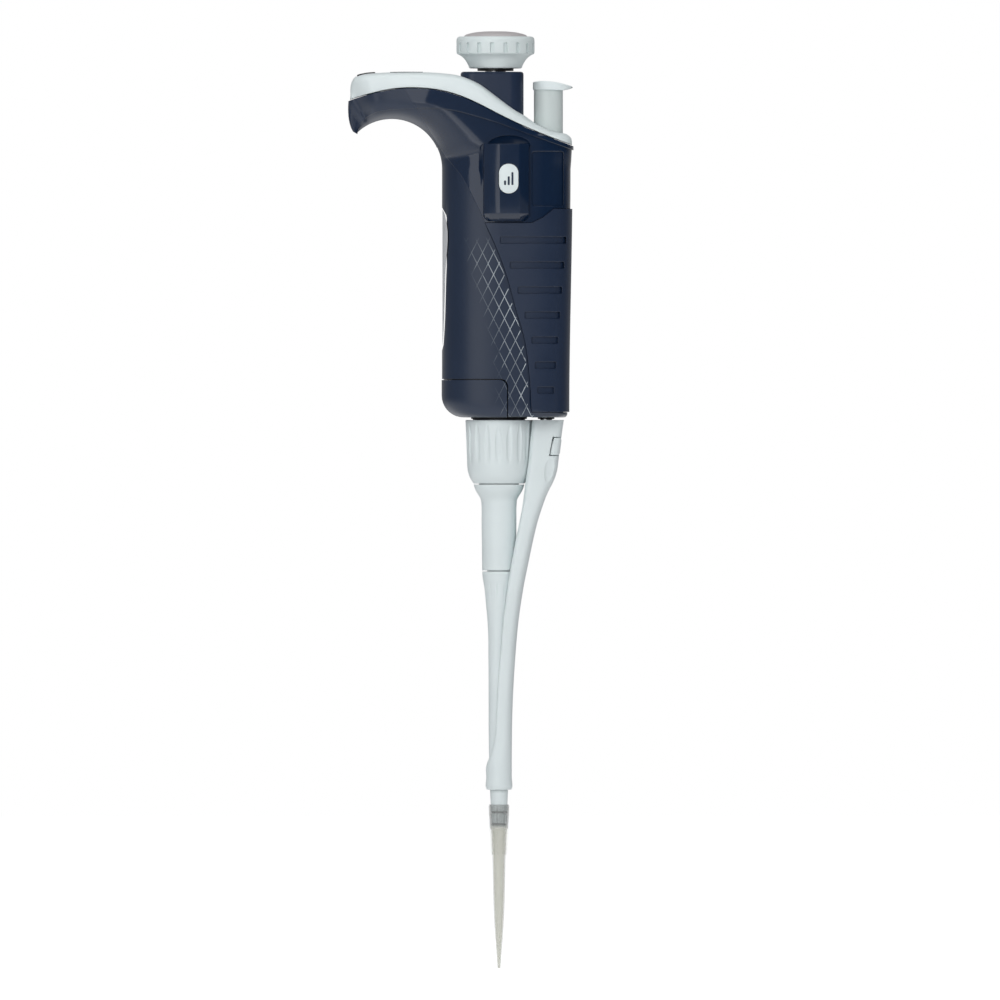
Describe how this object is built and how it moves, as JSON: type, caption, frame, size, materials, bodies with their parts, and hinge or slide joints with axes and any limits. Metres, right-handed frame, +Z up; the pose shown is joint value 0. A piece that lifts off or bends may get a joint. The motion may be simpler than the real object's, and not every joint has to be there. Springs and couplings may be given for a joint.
{
  "type": "electronic pipette",
  "caption": "Hand-held electronic liquid pipette with finger hook, control knob, side wireless module, tip ejector and a disposable tip.",
  "frame": {"origin": "crown of the finger hook's underside in the symmetry plane, where the pipette hangs on a stand", "axes": "+Z up along the pipetting axis, tip downwards; -X the way the hook points; -Y the near side with the wireless module"},
  "size_m": [0.0705, 0.0321, 0.2905],
  "materials": {
    "navy_gloss": "glossy moulded plastic, very dark navy",
    "navy_grip": "satin moulded plastic, very dark navy",
    "white_plastic": "satin moulded plastic, cool white",
    "pale_grey": "satin moulded plastic",
    "knob_grey": "satin moulded plastic",
    "knob_cap_grey": "satin moulded plastic, warm grey",
    "black_plastic": "satin moulded plastic",
    "rubber_seal": "matte",
    "lens": "glossy clear window over a grey display",
    "board": "solder-masked circuit board",
    "cell": "wrapped cell",
    "steel": "machined",
    "tip_clear": "translucent natural polypropylene"
  },
  "bodies": {
    "handle": {"handle_shell_near": "navy_gloss", "handle_shell_far": "navy_gloss", "rear_grip": "navy_grip", "front_panel": "pale_grey", "top_cover": "white_plastic", "display_lens": "lens", "display_module": "black_plastic", "display_board": "board", "turret": "navy_gloss", "knob_bush": "black_plastic", "wireless_cover": "navy_gloss", "wireless_badge": "white_plastic", "wireless_board": "board", "main_board": "board", "battery": "cell", "chassis": "black_plastic", "motor": "steel", "handle_collar": "black_plastic", "ejector_bush": "black_plastic", "upper_barrel": "white_plastic", "lower_barrel": "white_plastic", "piston_seal": "rubber_seal", "cone_ring_upper": "rubber_seal", "cone_ring_lower": "rubber_seal", "knob_spring": "steel", "ejector_spring": "steel"},
    "knob_carrier": {"knob_stem": "steel"},
    "knob": {"knob_wheel": "knob_grey", "knob_cap": "knob_cap_grey"},
    "near_key": {"key_near": "black_plastic"},
    "far_key": {"key_far": "black_plastic"},
    "ejector": {"ejector_button": "white_plastic", "ejector_rod": "steel", "ejector_arm": "white_plastic"},
    "latch": {"ejector_latch": "white_plastic"},
    "tip": {"tip": "tip_clear"},
    "piston": {"motor_shaft": "steel", "piston_coupling": "black_plastic", "piston": "steel"},
    "connecting_nut": {"connecting_nut": "white_plastic"},
    "battery_cover": {"battery_cover": "navy_gloss"}
  },
  "joints": [
    {"name": "knob_press", "type": "slide", "parent": "handle", "child": "knob_carrier", "axis": [0, 0, -1], "range_m": [0, 0.0006], "stiffness_N_per_m": 1500, "springref_m": -0.001, "deforming": ["knob_spring"]},
    {"name": "knob_turn", "type": "hinge", "parent": "knob_carrier", "child": "knob", "pos_m": [0.0322, 0, 0.02], "axis": [0, 0, 1], "continuous": true},
    {"name": "near_key_press", "type": "slide", "parent": "handle", "child": "near_key", "axis": [0, 0, -1], "range_m": [0, 0.0004], "stiffness_N_per_m": 800, "springref_m": -0.0008},
    {"name": "far_key_press", "type": "slide", "parent": "handle", "child": "far_key", "axis": [0, 0, -1], "range_m": [0, 0.0004], "stiffness_N_per_m": 800, "springref_m": -0.0008},
    {"name": "ejector_press", "type": "slide", "parent": "handle", "child": "ejector", "axis": [0, 0, -1], "range_m": [0, 0.008], "stiffness_N_per_m": 400, "springref_m": -0.01, "deforming": ["ejector_spring"]},
    {"name": "latch_press", "type": "slide", "parent": "ejector", "child": "latch", "axis": [-1, 0, 0], "range_m": [0, 0.0007], "stiffness_N_per_m": 600, "springref_m": -0.0005},
    {"name": "tip_slide", "type": "slide", "parent": "handle", "child": "tip", "axis": [0, 0, -1], "range_m": [0, 0.008]},
    {"name": "piston_stroke", "type": "slide", "parent": "handle", "child": "piston", "axis": [0, 0, -1], "range_m": [0, 0.016]},
    {"name": "nut_turn", "type": "hinge", "parent": "handle", "child": "connecting_nut", "pos_m": [0.0333, 0, -0.1], "axis": [0, 0, 1], "continuous": true},
    {"name": "battery_cover_slide", "type": "slide", "parent": "handle", "child": "battery_cover", "axis": [-1, 0, 0], "range_m": [0, 0.024]}
  ],
  "couplings": [
    {"joint": "tip_slide", "follows": "ejector_press", "ratio": 1}
  ]
}
